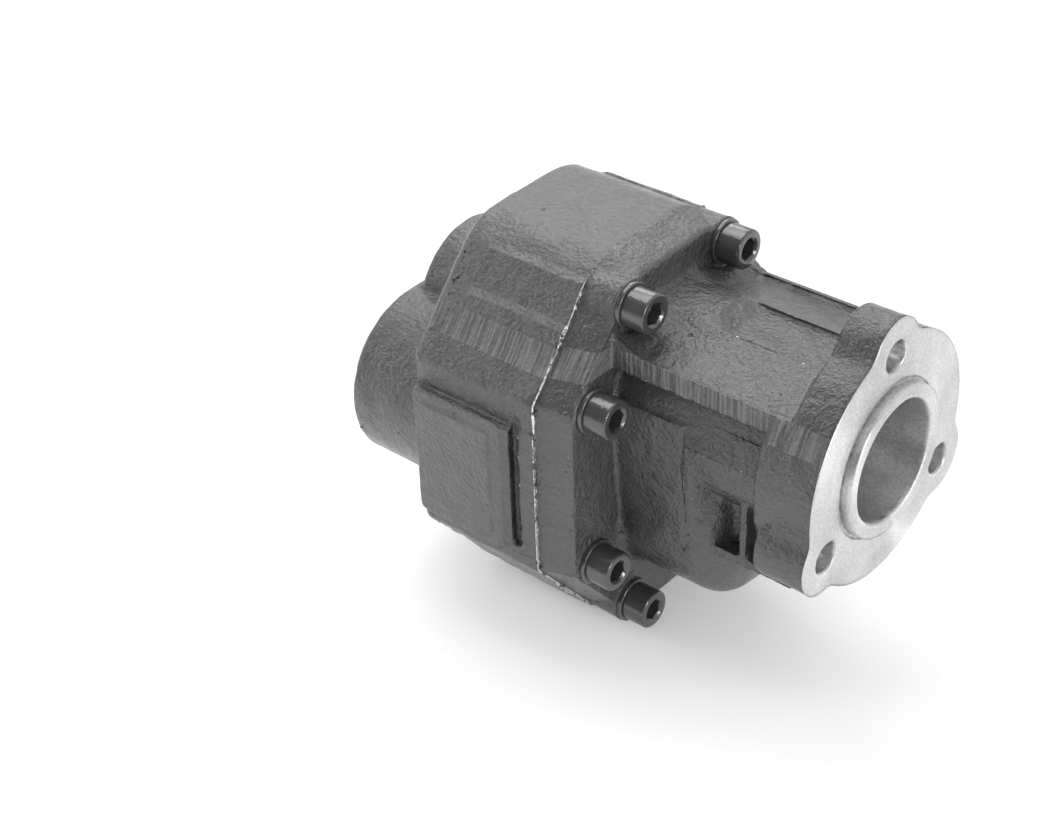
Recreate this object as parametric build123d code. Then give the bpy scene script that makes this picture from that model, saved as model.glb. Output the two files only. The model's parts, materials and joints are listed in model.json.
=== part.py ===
from build123d import *
import math
import os

# External gear pump with a three-bolt mounting flange.
# Frame: origin at the centre of the mounting flange face, +X out of the flange
# along the drive shaft, +Z up. The driven gear lies straight below the drive gear.
# All sizes are in millimetres; "station" means a place along X.

# ---------------------------------------------------------------- gears
gear_teeth = 12
gear_module = 4.25
pressure_angle = math.radians(28)
gear_width = 30.0
backlash = 0.24                 # tooth thickness taken off each gear at the pitch circle
journal_r = 14.0
journal_chamfer = 1.0

# ---------------------------------------------------------------- running fits
journal_gap = 0.04              # journal in bush, radial
tip_gap = 0.15                  # gear tips in the chamber, radial
block_gap = 0.05                # bearing blocks in the chamber, radial
face_gap = 0.05                 # gear faces against the bearing blocks
seat_gap = 0.02                 # pressed or clamped pieces
seal_gap = 0.03                 # seal lips on the shaft, radial

# ---------------------------------------------------------------- mounting flange
flange_r = 49.5
flange_thickness = 17.0
flange_bolt_inset = 6.0         # from the flange's edge to the bolt circle
flange_hole_r = 6.5
lobe_r = 15.0
lobe_blend_r = 9.0
lower_lobe_depth = 22.0
spigot_r = 30.0
spigot_height = 3.4
spigot_relief_r = 31.2
spigot_relief_depth = 0.6
mouth_r = 24.3                  # guide bore that the driver's coupling sleeve enters
mouth_chamfer = 0.8
guide_depth = 28.0              # the guide bore ends ahead of the shaft
sleeve_bore_r = 24.0            # rougher bore behind it
mouth_depth = 58.5
bolt_head_room = 8.0            # kept clear behind the lower lobes

# ---------------------------------------------------------------- neck
neck_rear_r = 38.5
neck_front_r = 36.5
band_depth = 25.0               # below the bar tops the flange disc is this thick
bar_half_width = 39.0           # outer faces of the two side bars
bar_bottom = 21.5
bar_top = 30.0
lip_width = 2.4                 # raised edge along each bar
lip_height = 0.9
roof_top = 35.5
channel_half_width = 11.5       # bolt channel along the roof, behind the top lobe
channel_floor = 34.0
channel_runout = -62.0          # the channel's floor starts to rise here
channel_rear = -80.0
flare_rise = 5.5                # the roof rises by this where it meets the screw flange
flare_length = 12.0
shoulder_rear = -62.0
shoulder_top = 12.0             # sloping shoulder on each side, below the bars
shoulder_half_width = 40.0
shoulder_inner_half = 35.5
shoulder_edge = 0.6
rib_half_width = 39.0           # horizontal rib under the shoulder
rib_bottom = -12.2
keel_half_width = 23.0
keel_bottom = -50.0
keel_web_half_width = 31.0
keel_web_thickness = 4.0
keel_rear = -62.0
gusset_station = -40.0
gusset_thickness = 3.5
belly_r = 35.0
belly_front = -44.5             # foremost point of its dome
belly_ball_r = 60.0             # roundness of the dome's middle
belly_round = 11.0              # round between the dome and the barrel
belly_crown_rise = 11.0         # the upper dome's centre above the driven axis
cheek_half_width = 38.5         # side walls that join the neck to the belly
cheek_top = 8.0
cheek_bottom = -12.0
cheek_front = -55.0
cheek_round = 11.0

# ---------------------------------------------------------------- casing
joint_station = -109.0          # plane where the two castings meet
casing_top = 57.0               # above the drive axis
casing_top_half = 29.4          # where the top and the flanks would meet, unrounded
casing_side_half = 68.0
casing_side_top = 13.0
casing_crown_r = 30.0           # round between the top and the flanks
casing_corner_r = 6.0           # round between the flanks and the sides
casing_rear = -169.5
casing_rear_round = 4.5
screw_flange_thickness = 15.0
screw_flange_side_half = 66.5
screw_flange_draft = 14.0
joint_chamfer = 0.5

# side pads that hold the oil passages
pad_proud = 3.3                 # how far each pad stands out of the casing's side
pad_root = 8.0                  # how far the pad reaches into the casing wall
pad_top = 1.0
pad_bottom = -58.0
pad_front = -123.0
pad_rear_bevel = 1.5
groove_front = -115.5
groove_width = 3.6
groove_depth = 3.0
groove_floor_rise = 4.0

# two ridges along each of the four sloping flanks
ridge_places = (10.1, 28.8)     # down the slope, from where the top and flank would meet
ridge_height = 1.4
ridge_upper_width = 3.0         # short upper face
ridge_lower_width = 14.0        # long lower face that fades into the flank
ridge_rear = -157.0

# ---------------------------------------------------------------- rear bosses
shaft_boss_r = 31.0
shaft_boss_end = -201.0
port_boss_r = 37.0
port_boss_half = 31.0           # distance of the boss ends' centres from the middle
port_boss_end = -205.5
boss_round = 3.0
rear_bore_r = 15.5
plug_r = 22.0
plug_thickness = 7.0
plug_recess = 3.4               # from the boss end to the plug
plug_hub_r = 12.0
plug_hub_depth = 2.0
plug_seal_depth = 2.4
plug_seal_width = 3.4

# ---------------------------------------------------------------- ports
port_offset = 37.0
port_r = 15.15
port_length = 22.0              # threaded length below the spot face
port_core_r = 13.5
port_core_length = 5.0
port_face_r = 21.0
port_face_depth = 0.6
passage_inner = 34.0
passage_outer = 60.0
passage_half_height = 13.0
passage_corner_r = 4.0
passage_front = -115.0
window_half_height = 11.0
window_width = 22.0

# ---------------------------------------------------------------- bearing blocks
front_block_length = 23.5
rear_block_length = 20.5
bush_wall = 2.0
bush_recess = 0.5               # bush ends below the gear face of the block
relief_width = 5.0
relief_height = 9.0
relief_depth = 1.6
relief_offset = 11.5
block_seal_inset = 3.2          # from the block edge to the seal groove
block_seal_width = 2.6
block_seal_depth = 2.0
backup_depth = 1.2
block_seal_gap = 0.1            # each side of the seal in its groove
relief_corner_r = 1.5
block_shoulder = 1.0            # the journals end this far from the blocks' outer faces

# ---------------------------------------------------------------- shaft seals
seal_r = 20.0
seal_length = 7.0
seal_wall = 4.0                 # wall between the front block and the inner seal
spacer_length = 1.5
spacer_wall = 2.5
passage_r = 14.6
seal_case_wall = 1.2
seal_lip_height = 1.6
seal_lip_offset = 3.4
circlip_thickness = 1.75
circlip_slack = 0.1             # the groove is longer than the ring
circlip_width = 3.0
circlip_depth = 1.25            # how far the groove is wider than the bore
circlip_gap_angle = 24.0
circlip_lug_r = 2.6
circlip_hole_r = 1.1

# ---------------------------------------------------------------- splined end
spline_count = 6
spline_outer_r = 12.5
spline_root_r = 10.5
spline_width = 5.0
spline_end = -30.0
spline_length = 26.0
spline_tip_length = 7.5         # tapered lead-in
spline_tip_drop = 1.5
undercut_r = 10.2
undercut_width = 2.0

# ---------------------------------------------------------------- screws
screw_arc_r = 52.4              # from the nearer gear axis
screw_angles = (33.6, 79.4)     # from the line through the gear axes
screw_shank_r = 5.0
screw_hole_r = 5.5
screw_head_r = 8.0
screw_head_height = 10.0
screw_head_chamfer = 0.8
screw_length = 40.0
socket_across_flats = 8.0
socket_depth = 5.0
washer_r = 9.2
washer_thickness = 2.0
screw_lug_r = 9.6
spot_face_r = 10.2              # seat cut round each washer
spot_face_height = 14.0
tapped_gap = 0.03
tapped_extra = 6.0
dowel_r = 4.0
dowel_length = 14.0
dowel_offset = 42.0             # above the drive axis and below the driven axis
dowel_end_gap = 0.5

# ---------------------------------------------------------------- joint seal
joint_seal_r = 34.5             # centre line, about each gear axis
joint_seal_side_gap = 0.2
joint_groove_width = 3.0
joint_groove_depth = 2.6

# ---------------------------------------------------------------- derived sizes
flange_bolt_r = flange_r - flange_bolt_inset
pad_half_width = casing_side_half + pad_proud
pitch_r = gear_module * gear_teeth / 2
centre_distance = 2 * pitch_r
tip_r = pitch_r + gear_module
root_r = pitch_r - 1.25 * gear_module
base_r = pitch_r * math.cos(pressure_angle)
chamber_r = tip_r + tip_gap
block_r = chamber_r - block_gap
driven_z = -centre_distance
middle_z = driven_z / 2
casing_bottom = 2 * middle_z - casing_top
seat_station = joint_station + screw_flange_thickness
front_block_front = joint_station + front_block_length
gear_front = joint_station - face_gap
gear_rear = gear_front - gear_width
rear_block_front = gear_rear - face_gap
rear_block_rear = rear_block_front - rear_block_length
chamber_rear = rear_block_rear - seat_gap
front_recess_front = front_block_front + seat_gap
shoulder_front = front_recess_front + seal_wall
plug_rear = shaft_boss_end + plug_recess
plug_front = plug_rear + plug_thickness
retainer_rear = shoulder_front + 2 * seal_length + spacer_length + face_gap
head_station = seat_station + washer_thickness
port_face_station = port_boss_end + port_face_depth
port_bottom = port_face_station + port_length
bush_r = journal_r + bush_wall
bore_axes = (0.0, driven_z)
overcut = 1.0                   # how far a cutter reaches past the face that it opens
root = 2.0                      # how far a feature reaches into the body that carries it


def along_x(profile, start, end):
    """Extrude a Y-Z profile from one station to another further forward."""
    return extrude(Plane.YZ.offset(start) * profile, amount=end - start)


def rod(radius, start, end, y=0.0, z=0.0):
    """Round bar parallel to X between two stations."""
    return along_x(Pos(y, z) * Circle(radius), start, end)


def tube(outer, inner, start, end, y=0.0, z=0.0):
    """Ring or sleeve parallel to X between two stations."""
    return along_x(Pos(y, z) * (Circle(outer) - Circle(inner)), start, end)


def figure_eight(radius):
    """Outline of the two overlapping gear bores."""
    return Circle(radius) + Pos(0, driven_z) * Circle(radius)


def mirrored_height(z):
    """Height of the matching feature below the middle of the casing."""
    return 2 * middle_z - z


def screw_places():
    """Y-Z centres of the body screws: two arcs of four, about the gear axes."""
    places = []
    for side in (-1, 1):
        for angle in screw_angles:
            y = side * screw_arc_r * math.sin(math.radians(angle))
            z = screw_arc_r * math.cos(math.radians(angle))
            places += [(y, z), (y, mirrored_height(z))]
    return places


def dowel_places():
    """Y-Z centres of the two dowels, on the line through the gear axes."""
    return [(0, dowel_offset), (0, mirrored_height(dowel_offset))]


def casing_outline(side_half, top):
    """Eight-sided casing outline, rounded at its corners, the same above and below its middle."""
    right = [
        (casing_top_half, top),
        (side_half, casing_side_top),
        (side_half, mirrored_height(casing_side_top)),
        (casing_top_half, mirrored_height(top)),
    ]
    left = [(-y, z) for y, z in reversed(right)]
    outline = make_face(Polyline(*right, *left, close=True))
    crowns = outline.vertices().filter_by(lambda v: abs(v.X) < casing_top_half + root)
    outline = fillet(crowns, casing_crown_r)
    corners = outline.vertices().filter_by(lambda v: abs(abs(v.X) - side_half) < seat_gap)
    return fillet(corners, casing_corner_r)


# ---------------------------------------------------------------- gears and shafts
def involute(angle):
    """Involute function of a pressure angle."""
    return math.tan(angle) - angle


def tooth_half_angle(radius):
    """Half of the angle that a tooth covers at a radius."""
    half_thickness = (math.pi * gear_module / 2 - backlash) / 2
    at_pitch = half_thickness / pitch_r + involute(pressure_angle)
    return at_pitch - involute(math.acos(min(1.0, base_r / radius)))


def polar(radius, angle):
    """Point on a circle about the gear axis."""
    return (radius * math.cos(angle), radius * math.sin(angle))


def gear_profile(first_tooth):
    """Closed outline of the gear; first_tooth is the angle of one tooth's centre."""
    flank_radii = [base_r + (tip_r - base_r) * step / 4 for step in range(5)]
    pitch_angle = 2 * math.pi / gear_teeth
    edges = []
    for tooth in range(gear_teeth):
        centre = first_tooth + tooth * pitch_angle
        foot = tooth_half_angle(base_r)
        rising = [polar(r, centre - tooth_half_angle(r)) for r in flank_radii]
        falling = [polar(r, centre + tooth_half_angle(r)) for r in reversed(flank_radii)]
        next_foot = polar(root_r, centre + pitch_angle - foot)
        edges += [
            Line(polar(root_r, centre - foot), rising[0]),
            Spline(*rising),
            ThreePointArc(rising[-1], polar(tip_r, centre), falling[0]),
            Spline(*falling),
            Line(falling[-1], polar(root_r, centre + foot)),
            ThreePointArc(
                polar(root_r, centre + foot),
                polar(root_r, centre + pitch_angle / 2),
                next_foot,
            ),
        ]
    return make_face(edges)


def spline_profile():
    """Straight-sided splines on the drive end."""
    profile = Circle(spline_root_r)
    for index in range(spline_count):
        key = Pos(spline_outer_r / 2, 0) * Rectangle(spline_outer_r, spline_width)
        profile += Rot(0, 0, index * 360 / spline_count) * key
    return profile & Circle(spline_outer_r)


def journal(start, end, z=0.0):
    """Bearing journal with chamfered ends."""
    bar = rod(journal_r, start, end, z=z)
    return chamfer(bar.edges().filter_by(GeomType.CIRCLE), journal_chamfer)


def drive_gear_shaft():
    """Drive shaft with its gear, journals, seal land and splined end."""
    spline_rear = spline_end - spline_length
    gear = along_x(gear_profile(-math.pi / 2), gear_rear, gear_front)
    splines = along_x(spline_profile(), spline_rear, spline_end)
    blank = rod(spline_outer_r, spline_rear, spline_end)
    tip = blank.faces().sort_by(Axis.X)[-1]
    blank = chamfer(tip.edges(), spline_tip_drop, spline_tip_length, reference=tip)
    undercut = rod(undercut_r, spline_rear - undercut_width, spline_rear)
    front = journal(gear_front, spline_rear - undercut_width)
    rear = journal(rear_block_rear + block_shoulder, gear_rear)
    return gear + front + rear + undercut + (splines & blank)


def driven_gear_shaft():
    """Driven shaft with its gear, in mesh straight below the drive gear."""
    half_pitch = math.pi / gear_teeth
    profile = Pos(0, driven_z) * gear_profile(math.pi / 2 + half_pitch)
    gear = along_x(profile, gear_rear, gear_front)
    front = journal(gear_front, front_block_front - block_shoulder, z=driven_z)
    rear = journal(rear_block_rear + block_shoulder, gear_rear, z=driven_z)
    return gear + front + rear


# ---------------------------------------------------------------- bearings
def seal_band(width, inset):
    """Closed band that follows the edge of a bearing block."""
    outer = figure_eight(block_r - inset)
    return outer - figure_eight(block_r - inset - width)


def bearing_block(start, end, seal_face_at_front):
    """Figure-eight block with two journal bores, relief pockets and a seal groove."""
    block = along_x(figure_eight(block_r), start, end)
    for z in bore_axes:
        block -= rod(bush_r + seat_gap, start - overcut, end + overcut, z=z)
    groove_depth_all = block_seal_depth + backup_depth
    if seal_face_at_front:
        gear_side = (start, start + relief_depth)
        groove = (end - groove_depth_all, end)
    else:
        gear_side = (end - relief_depth, end)
        groove = (start, start + groove_depth_all)
    for side in (-1, 1):
        pocket = Pos(side * relief_offset, middle_z) * Rectangle(relief_width, relief_height)
        block -= along_x(fillet(pocket.vertices(), relief_corner_r), *gear_side)
    return block - along_x(seal_band(block_seal_width, block_seal_inset), *groove)


def bush(start, end, z):
    """Plain bearing bush for one journal."""
    return tube(bush_r, journal_r + journal_gap, start, end, z=z)


def block_seal(start, end):
    """Moulded rubber seal that lies in a block's groove."""
    width = block_seal_width - 2 * block_seal_gap
    return along_x(seal_band(width, block_seal_inset + block_seal_gap), start, end)


# ---------------------------------------------------------------- front casting
def flange_outline():
    """Mounting flange: a disc with three bolt lobes, one of them on top."""
    outline = Circle(flange_r)
    for index in range(3):
        outline += Rot(0, 0, 90 + 120 * index) * Pos(flange_bolt_r, 0) * Circle(lobe_r)
    return fillet(outline.vertices(), lobe_blend_r)


def roof_profile(rise):
    """Section of the neck's top, down to the bottoms of the side bars."""
    inner = bar_half_width - lip_width
    right = [
        (channel_half_width, roof_top + rise),
        (inner, bar_top - lip_height + rise),
        (inner + lip_height, bar_top + rise),
        (bar_half_width, bar_top + rise),
        (bar_half_width, bar_bottom),
    ]
    left = [(-y, z) for y, z in reversed(right)]
    return make_face(Polyline(*right, *left, close=True))


def shoulder_profile():
    """Section of the sloping shoulders and of the ribs under them."""
    right = [
        (shoulder_inner_half, shoulder_top),
        (shoulder_half_width, shoulder_edge),
        (rib_half_width, 0),
        (rib_half_width, rib_bottom),
    ]
    left = [(-y, z) for y, z in reversed(right)]
    return make_face(Polyline(*right, *left, close=True))


def neck():
    """Tapered core of the neck with its roof, side bars, shoulders and ribs."""
    front = root - flange_thickness
    half_core = make_face(
        Polyline(
            (seat_station - root, 0), (seat_station - root, neck_rear_r),
            (front, neck_front_r), (front, 0), close=True,
        )
    )
    body = revolve(Plane.XZ * half_core, axis=Axis.X)
    body += along_x(roof_profile(0), seat_station - root, front)
    body += along_x(shoulder_profile(), shoulder_rear, front)
    flare_front = seat_station + flare_length
    body += loft([
        Plane.YZ.offset(seat_station - root) * roof_profile(flare_rise),
        Plane.YZ.offset(flare_front) * roof_profile(0),
    ])
    channel = make_face(
        Polyline(
            (front + overcut, channel_floor), (channel_runout, channel_floor),
            (channel_rear, roof_top + flare_rise), (channel_rear, casing_top),
            (front + overcut, casing_top), close=True,
        )
    )
    return body - extrude(Plane.XZ * channel, amount=channel_half_width, both=True)


def keel():
    """Lower part of the neck: a box with a floor web and two upright gussets."""
    core = Pos(0, keel_bottom / 2) * Rectangle(2 * keel_half_width, -keel_bottom)
    web = Pos(0, keel_bottom + keel_web_thickness / 2) * Rectangle(
        2 * keel_web_half_width, keel_web_thickness
    )
    gusset = Pos(0, keel_bottom / 2) * Rectangle(2 * keel_web_half_width, -keel_bottom)
    body = along_x(core + web, keel_rear, -flange_thickness)
    return body + along_x(
        gusset, gusset_station - gusset_thickness / 2, gusset_station + gusset_thickness / 2
    )


def cheeks():
    """Side walls that run down from the neck to the belly, rounded at the front."""
    right = [
        (cheek_half_width, cheek_top), (cheek_half_width, cheek_bottom), (belly_r, driven_z),
    ]
    left = [(-y, z) for y, z in reversed(right)]
    walls = along_x(
        make_face(Polyline(*right, *left, close=True)), seat_station - root, cheek_front
    )
    front = walls.faces().sort_by(Axis.X)[-1]
    sides = front.edges().filter_by(lambda e: abs(e.center().Y) > belly_r - root)
    return fillet(sides, cheek_round)


def belly():
    """Barrel over the front end of the driven gear's bearing, with a second crown above it."""
    ball_centre = belly_front - belly_ball_r
    round_height = belly_r - belly_round
    reach = belly_ball_r - belly_round
    round_centre = ball_centre + math.sqrt(reach**2 - round_height**2)
    turn = math.degrees(math.asin(round_height / reach))
    back = seat_station - root
    profile = make_face(
        [
            Line((back, 0), (belly_front, 0)),
            CenterArc((ball_centre, 0), belly_ball_r, 0, turn),
            CenterArc((round_centre, round_height), belly_round, turn, 90 - turn),
            Line((round_centre, belly_r), (back, belly_r)),
            Line((back, belly_r), (back, 0)),
        ]
    )
    nose = Pos(0, 0, driven_z) * revolve(Plane.XZ * profile, axis=Axis.X)
    return nose + Pos(0, 0, belly_crown_rise) * nose


def front_casting():
    """Front casting: mounting flange, neck and screw flange in one piece."""
    flange = along_x(flange_outline(), -flange_thickness, 0)
    lobes = Sketch() + [
        Rot(0, 0, angle) * Pos(flange_bolt_r, 0) * Circle(lobe_r) for angle in (210, 330)
    ]
    lower_lobes = along_x(lobes, -lower_lobe_depth, 0)
    below_bars = Pos(0, bar_top - flange_r) * Rectangle(2 * flange_r + root, 2 * flange_r)
    band = along_x(Circle(flange_r) & below_bars, -band_depth, root - flange_thickness)
    outline = casing_outline(screw_flange_side_half, casing_top)
    screw_flange = extrude(
        Plane.YZ.offset(joint_station) * outline,
        amount=screw_flange_thickness, taper=screw_flange_draft,
    )
    body = neck() + band + flange + lower_lobes + keel() + cheeks() + belly() + screw_flange
    for y, z in screw_places():
        body += rod(screw_lug_r, joint_station, seat_station, y=y, z=z)
    for y, z in screw_places():
        body -= rod(spot_face_r, seat_station, seat_station + spot_face_height, y=y, z=z)
    body += rod(spigot_r, -root, spigot_height)
    body -= tube(spigot_relief_r, spigot_r, -spigot_relief_depth, spigot_height)

    # bores along the drive axis
    body -= rod(sleeve_bore_r, -mouth_depth, spigot_height)
    body -= rod(mouth_r, -guide_depth, spigot_height)
    mouth_edges = body.edges().filter_by(GeomType.CIRCLE).filter_by(
        lambda e: abs(e.radius - mouth_r) < 0.01 and abs(e.center().X - spigot_height) < 0.01
    )
    body = chamfer(mouth_edges, mouth_chamfer)
    body -= rod(seal_r, shoulder_front, -mouth_depth)
    body -= rod(passage_r, front_recess_front, shoulder_front)
    ring_groove_front = retainer_rear + circlip_thickness + circlip_slack
    body -= rod(seal_r + circlip_depth, retainer_rear, ring_groove_front)
    body -= along_x(figure_eight(chamber_r), joint_station, front_recess_front)

    for index in range(3):
        angle = math.radians(90 + 120 * index)
        y, z = polar(flange_bolt_r, angle)
        body -= rod(flange_hole_r, -lower_lobe_depth - bolt_head_room, overcut, y=y, z=z)
    for y, z in screw_places():
        body -= rod(screw_hole_r, joint_station, seat_station + overcut, y=y, z=z)
    for y, z in dowel_places():
        dowel_front = joint_station + dowel_length / 2 + dowel_end_gap
        body -= rod(dowel_r + seat_gap, joint_station, dowel_front, y=y, z=z)
    return body


# ---------------------------------------------------------------- rear casting
def flank_ridges():
    """Long ridges on the four flanks: a short upper face and a lower face that fades out."""
    top = Vector(casing_top_half, casing_top)
    side = Vector(casing_side_half, casing_side_top)
    down = (side - top).normalized()
    outward = Vector(-down.Y, down.X)
    ridges = []
    for place in ridge_places:
        crest = top + down * place + outward * ridge_height
        above = top + down * (place - ridge_upper_width)
        below = top + down * (place + ridge_lower_width)
        wedge = [crest, above, above - outward * root, below - outward * root, below]
        for flip in (1, -1):
            for upper in (True, False):
                points = [(flip * p.X, p.Y if upper else mirrored_height(p.Y)) for p in wedge]
                ridges.append(
                    along_x(make_face(Polyline(*points, close=True)), ridge_rear, joint_station)
                )
    return ridges


def side_pad(side):
    """Raised pad over an oil passage, stepped down towards the joint, and its groove."""
    height = pad_top - pad_bottom
    inner = side * (casing_side_half - pad_root)
    shoulder = side * (pad_half_width - groove_depth / 2)
    plan = make_face(
        Polyline(
            (casing_rear + pad_rear_bevel, inner),
            (casing_rear + pad_rear_bevel, side * casing_side_half),
            (casing_rear + 2 * pad_rear_bevel, side * pad_half_width),
            (pad_front, side * pad_half_width), (groove_front - groove_width, shoulder),
            (groove_front, shoulder), (joint_station, side * casing_side_half),
            (joint_station, inner), close=True,
        )
    )
    pad = extrude(Plane.XY.offset(pad_bottom) * plan, amount=height)
    groove_centre = (groove_front - groove_width / 2, shoulder, (pad_top + pad_bottom) / 2)
    groove = Pos(*groove_centre) * Pos(0, 0, groove_floor_rise) * Box(
        groove_width, 2 * groove_depth, height
    )
    return pad, groove


def stadium(radius, half_length):
    """Slot-shaped outline lying across the casing at the height of its middle."""
    return Pos(0, middle_z) * SlotOverall(2 * (half_length + radius), 2 * radius)


def oil_passages():
    """Rear ports, the passages behind the side pads and the windows to the gears."""
    passage = Pos((passage_inner + passage_outer) / 2, middle_z) * Rectangle(
        passage_outer - passage_inner, 2 * passage_half_height
    )
    passage = fillet(passage.vertices(), passage_corner_r)
    window = Pos(passage_outer / 2, middle_z) * Rectangle(
        passage_outer - 2 * passage_corner_r, 2 * window_half_height
    )
    centre = {"y": port_offset, "z": middle_z}
    cavities = [
        rod(port_r, port_face_station, port_bottom, **centre),
        rod(port_face_r, port_boss_end, port_face_station, **centre),
        rod(port_core_r, port_bottom, port_bottom + port_core_length, **centre),
        along_x(passage, port_bottom + port_core_length / 2, passage_front),
        along_x(window, passage_front - window_width, passage_front),
    ]
    return cavities + [cavity.mirror(Plane.XZ) for cavity in cavities]


def rear_casting():
    """Rear casting: gear chamber, oil passages, rear ports and shaft boss."""
    outline = casing_outline(casing_side_half, casing_top)
    body = along_x(outline, casing_rear, joint_station)
    body = fillet(body.faces().sort_by(Axis.X)[0].edges(), casing_rear_round)
    body = chamfer(body.faces().sort_by(Axis.X)[-1].edges(), joint_chamfer)
    for ridge in flank_ridges():
        body += ridge
    for side in (-1, 1):
        pad, groove = side_pad(side)
        body += pad
        body -= groove
    shaft_boss = rod(shaft_boss_r, shaft_boss_end, casing_rear + root)
    port_boss = along_x(stadium(port_boss_r, port_boss_half), port_boss_end, casing_rear + root)
    for boss in (shaft_boss, port_boss):
        body += fillet(boss.faces().sort_by(Axis.X)[0].edges(), boss_round)

    # gear chamber, shaft bore and plug seat
    body -= along_x(figure_eight(chamber_r), chamber_rear, joint_station)
    body -= rod(rear_bore_r, shaft_boss_end, chamber_rear)
    body -= rod(plug_r + seat_gap, shaft_boss_end, plug_front)
    ring_groove_rear = plug_rear - circlip_thickness - circlip_slack
    body -= rod(plug_r + circlip_depth, ring_groove_rear, plug_rear)

    for cavity in oil_passages():
        body -= cavity
    for y, z in screw_places():
        body -= rod(
            screw_shank_r + tapped_gap, head_station - screw_length - tapped_extra,
            joint_station, y=y, z=z,
        )
    for y, z in dowel_places():
        dowel_rear = joint_station - dowel_length / 2 - dowel_end_gap
        body -= rod(dowel_r + seat_gap, dowel_rear, joint_station, y=y, z=z)
    groove = joint_seal_path(joint_seal_r + joint_groove_width / 2)
    groove -= joint_seal_path(joint_seal_r - joint_groove_width / 2)
    return body - along_x(groove, joint_station - joint_groove_depth, joint_station)


# ---------------------------------------------------------------- seals and small pieces
def joint_seal_path(radius):
    """Slot-shaped outline about both gear bores."""
    return Pos(0, middle_z) * Rot(0, 0, 90) * SlotOverall(centre_distance + 2 * radius, 2 * radius)


def joint_seal():
    """Square-section seal between the castings, lying in the rear casting's groove."""
    half_width = joint_groove_width / 2 - joint_seal_side_gap
    ring = joint_seal_path(joint_seal_r + half_width) - joint_seal_path(joint_seal_r - half_width)
    return along_x(ring, joint_station - joint_groove_depth, joint_station)


def shaft_seal(start):
    """Rotary lip seal: a cased rubber ring whose lip runs on the shaft."""
    land = journal_r + seal_gap
    rim = seal_r - seat_gap
    lip = start + seal_lip_offset
    profile = make_face(
        Polyline(
            (start, rim), (start + seal_length, rim),
            (start + seal_length, land + seal_lip_height), (lip, land),
            (start + seal_case_wall, land + seal_lip_height),
            (start + seal_length - 2 * seal_case_wall, rim - seal_case_wall),
            (start, rim - seal_case_wall), close=True,
        )
    )
    return revolve(Plane.XZ * profile, axis=Axis.X)


def circlip(bore_r, start):
    """Internal retaining ring with a gap and two drilled lugs."""
    outer = bore_r + circlip_depth - face_gap
    inner = outer - circlip_width
    ring = Circle(outer) - Circle(inner)
    half_gap = math.radians(circlip_gap_angle) / 2
    reach = 2 * outer
    ring -= make_face(Polyline((0, 0), polar(reach, -half_gap), polar(reach, half_gap), close=True))
    for side in (-1, 1):
        place = Pos(*polar(inner, side * (half_gap + circlip_lug_r / inner)))
        ring += place * Circle(circlip_lug_r)
        ring -= place * Circle(circlip_hole_r)
    return along_x(Rot(0, 0, 90) * ring, start, start + circlip_thickness)


def rear_plug():
    """Plug that closes the rear end of the shaft bore, grooved for its seal."""
    plug = rod(plug_r, plug_rear, plug_front)
    plug -= rod(plug_hub_r, plug_rear, plug_rear + plug_hub_depth)
    return plug - plug_ring(plug_r - plug_seal_depth, plug_seal_width)


def plug_ring(inner, width):
    """Square-section ring round the middle of the plug's rim."""
    middle = (plug_rear + plug_front) / 2
    return tube(plug_r, inner, middle - width / 2, middle + width / 2)


def cap_screw(y, z):
    """Socket head cap screw with its head forward."""
    head_front = head_station + screw_head_height
    head = rod(screw_head_r, head_station, head_front, y=y, z=z)
    head = chamfer(head.faces().sort_by(Axis.X)[-1].edges(), screw_head_chamfer)
    socket = Pos(y, z) * RegularPolygon(socket_across_flats / 2, 6, major_radius=False)
    shank = rod(screw_shank_r, head_station - screw_length, head_station, y=y, z=z)
    return head + shank - along_x(socket, head_front - socket_depth, head_front)


def group(pieces):
    """Separate solids that share one node."""
    return Compound(children=[piece.solid() for piece in pieces])


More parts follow.
